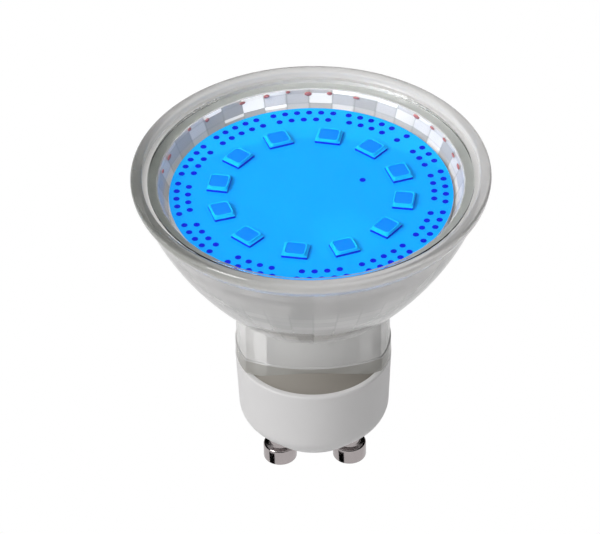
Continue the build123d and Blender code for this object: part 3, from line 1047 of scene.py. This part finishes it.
class BuildDriver(bpy.types.Operator):
    """Finish the carrier, the sleeve, and the driver with its wires"""

    bl_idname = "bulb.driver"
    bl_label = "Driver"

    def execute(self, context):
        settings = context.scene.bulb_base
        carrier = plastic_finish("carrier_plastic", settings.carrier, 0.5, 0.3 * MM, 0.01 * MM)
        dress("neck_carrier", carrier)
        sleeve = plastic_finish("sleeve_film", settings.sleeve, 0.45, 0.5 * MM, 0.02 * MM)
        dress("insulating_sleeve", sleeve)
        finishes = {
            "driver_board": ("driver_laminate", (0.05, 0.20, 0.08), 0.4),
            "electrolytic_capacitor": ("capacitor_can", (0.02, 0.02, 0.03), 0.3),
            "film_capacitor": ("red_film", (0.35, 0.03, 0.02), 0.3),
            "choke": ("ferrite", (0.03, 0.03, 0.03), 0.6),
            "fusible_resistor": ("grey_resistor", (0.18, 0.22, 0.22), 0.4),
        }
        for node, (name, tint, roughness) in finishes.items():
            dress(node, plastic_finish(name, tint, roughness, 0.3 * MM, 0.01 * MM))
        epoxy = plastic_finish("black_epoxy", (0.012, 0.012, 0.012), 0.5, 0.15 * MM, 0.01 * MM)
        for node in ("bridge_rectifier", "driver_chip", "chip_resistor_1", "chip_resistor_2"):
            dress(node, epoxy)
        sheath = plastic_finish("wire_sheath", (0.70, 0.70, 0.68), 0.45, 0.2 * MM, 0.01 * MM)
        for node in ("pin_wire_left", "pin_wire_right", "board_wire_left", "board_wire_right"):
            dress(node, sheath)
        return {"FINISHED"}


class BuildStudio(bpy.types.Operator):
    """Set up the camera, the lights, the white floor and the world"""

    bl_idname = "bulb.studio"
    bl_label = "Studio"

    def camera(self, context, settings):
        """A long-lens camera above the front of the lamp."""
        data = bpy.data.cameras.new("camera")
        data.lens = settings.lens
        data.sensor_width = 36.0
        data.clip_end = 10.0
        camera = bpy.data.objects.new("camera", data)
        context.scene.collection.objects.link(camera)
        back = Vector((0.0, -cos(settings.elevation), sin(settings.elevation)))
        right = Vector((1.0, 0.0, 0.0))
        up = back.cross(right)
        tilted_right = right * cos(settings.roll) + up * sin(settings.roll)
        tilted_up = up * cos(settings.roll) - right * sin(settings.roll)
        turn = Matrix((tilted_right, tilted_up, back)).transposed().to_4x4()
        target = Vector((settings.target_x, 0.0, settings.target_z))
        camera.matrix_world = Matrix.Translation(target + back * settings.distance) @ turn
        context.scene.camera = camera

    def lamp(self, context, name, place, size, power):
        """A soft square light that faces the lamp."""
        data = bpy.data.lights.new(name, "AREA")
        data.shape = "SQUARE"
        data.size = size
        data.energy = power
        lamp = bpy.data.objects.new(name, data)
        context.scene.collection.objects.link(lamp)
        place = Vector(place)
        aim = Vector((0.0, 0.0, 0.03)) - place
        lamp.matrix_world = Matrix.Translation(place) @ aim.to_track_quat("-Z", "Y").to_matrix().to_4x4()

    def world(self, context, settings):
        """White to the camera and through glass, dark high up in reflections, a plain light elsewhere."""
        world = bpy.data.worlds.new("studio")
        world.use_nodes = True
        builder = Finish("studio_world", world.node_tree)
        path = builder.add("ShaderNodeLightPath", output="Is Camera Ray")
        height = builder.axes(builder.add("ShaderNodeTexCoord", output="Generated"))[2]
        low = 1.0 - height.above(0.12, 0.12)
        mirrored = low * (settings.seen_in_glass - settings.seen_above) + settings.seen_above
        plain = settings.world_light
        strength = plain + path.of("Is Glossy Ray") * (mirrored - plain)
        strength = strength + path.of("Is Transmission Ray") * (settings.seen_in_glass - plain)
        strength = strength + path * (1.0 - strength)
        background = builder.add(
            "ShaderNodeBackground", sockets={"Color": (1.0, 1.0, 1.0), "Strength": strength}
        )
        builder.add("ShaderNodeOutputWorld", sockets={"Surface": background})
        context.scene.world = world

    def floor(self, context, settings):
        """A floor that looks plain white and still throws light back."""
        mesh = bpy.data.meshes.new("floor")
        build = bmesh.new()
        bmesh.ops.create_grid(build, x_segments=1, y_segments=1, size=2.5)
        build.to_mesh(mesh)
        build.free()
        floor = bpy.data.objects.new("floor", mesh)
        context.scene.collection.objects.link(floor)
        floor.location.z = -0.02 * MM
        finish = Finish("white_floor")
        path = finish.add("ShaderNodeLightPath", output="Is Camera Ray")
        seen = path.maths("MAXIMUM", path.of("Is Glossy Ray"), path.of("Is Transmission Ray"))
        level = path + seen * settings.seen_in_glass
        matte = finish.add("ShaderNodeBsdfDiffuse", sockets={"Color": (0.9, 0.9, 0.9)})
        white = finish.add("ShaderNodeEmission", sockets={"Color": (1.0, 1.0, 1.0), "Strength": level})
        either = path.maths("MAXIMUM", path, seen * 0.94)
        mix = finish.add("ShaderNodeMixShader", sockets={0: either, 1: matte, 2: white})
        finish.add("ShaderNodeOutputMaterial", sockets={"Surface": mix})
        mesh.materials.append(finish.material)

    def pin_cards(self, context):
        """Small black cards on the floor that the polished pins reflect as a dark strip."""
        reach, head = 3.4 * MM, PIN_HIGH.y
        finish = Finish("black_card")
        black = finish.add("ShaderNodeBsdfDiffuse", sockets={"Color": (0.008, 0.008, 0.008)})
        finish.add("ShaderNodeOutputMaterial", sockets={"Surface": black})
        for side in ("left", "right"):
            low, high = box(f"contact_pin_{side}")
            middle_x = (low.x + high.x) / 2
            corners = []
            for turn, out in ((20, 0.0), (20, reach), (41, reach), (41, 0.0)):
                x = middle_x - head * sin(radians(turn)) - out * sin(radians(2 * turn))
                y = -head * cos(radians(turn)) - out * cos(radians(2 * turn))
                corners.append((x, y, 0.01 * MM))
            mesh = bpy.data.meshes.new(f"pin_card_{side}")
            mesh.from_pydata(corners, [], [(0, 1, 2, 3)])
            mesh.materials.append(finish.material)
            card = bpy.data.objects.new(f"pin_card_{side}", mesh)
            context.scene.collection.objects.link(card)
            card.visible_camera = False
            card.visible_diffuse = False
            card.visible_shadow = False
            card.visible_transmission = False

    def execute(self, context):
        settings = context.scene.bulb_studio
        context.scene.view_settings.view_transform = "Standard"
        self.camera(context, settings)
        self.world(context, settings)
        self.floor(context, settings)
        self.pin_cards(context)
        self.lamp(context, "key_light", (-0.75, -0.45, 0.85), 0.5, settings.key_power)
        self.lamp(context, "fill_light", (0.7, -0.7, 0.5), 0.6, settings.fill_power)
        return {"FINISHED"}


class BulbPanel(bpy.types.Panel):
    """Lists the steps that build the lamp"""

    bl_idname = "VIEW3D_PT_spotlight_bulb"
    bl_label = "Spotlight Bulb"
    bl_space_type = "VIEW_3D"
    bl_region_type = "UI"
    bl_category = "Spotlight Bulb"

    def draw(self, context):
        for operator in OPERATORS:
            self.layout.operator(operator.bl_idname)
        for name, group in SETTINGS.items():
            column = self.layout.column()
            for setting in group.__annotations__:
                column.prop(getattr(context.scene, name), setting)


OPERATORS = (
    BuildGlassCup,
    BuildCoverGlass,
    BuildSeal,
    BuildDabs,
    BuildBoard,
    BuildLeds,
    BuildBase,
    BuildPins,
    BuildDriver,
    BuildStudio,
)


def register():
    for name, group in SETTINGS.items():
        bpy.utils.register_class(group)
        setattr(bpy.types.Scene, name, bpy.props.PointerProperty(type=group))
    for kind in (*OPERATORS, BulbPanel):
        bpy.utils.register_class(kind)


def unregister():
    for kind in reversed((*OPERATORS, BulbPanel)):
        bpy.utils.unregister_class(kind)
    for name, group in SETTINGS.items():
        delattr(bpy.types.Scene, name)
        bpy.utils.unregister_class(group)


def main():
    register()
    bpy.ops.bulb.glass_cup()
    bpy.ops.bulb.cover_glass()
    bpy.ops.bulb.seal()
    bpy.ops.bulb.dabs()
    bpy.ops.bulb.board()
    bpy.ops.bulb.leds()
    bpy.ops.bulb.base()
    bpy.ops.bulb.pins()
    bpy.ops.bulb.driver()
    bpy.ops.bulb.studio()


if __name__ == "__main__":
    main()
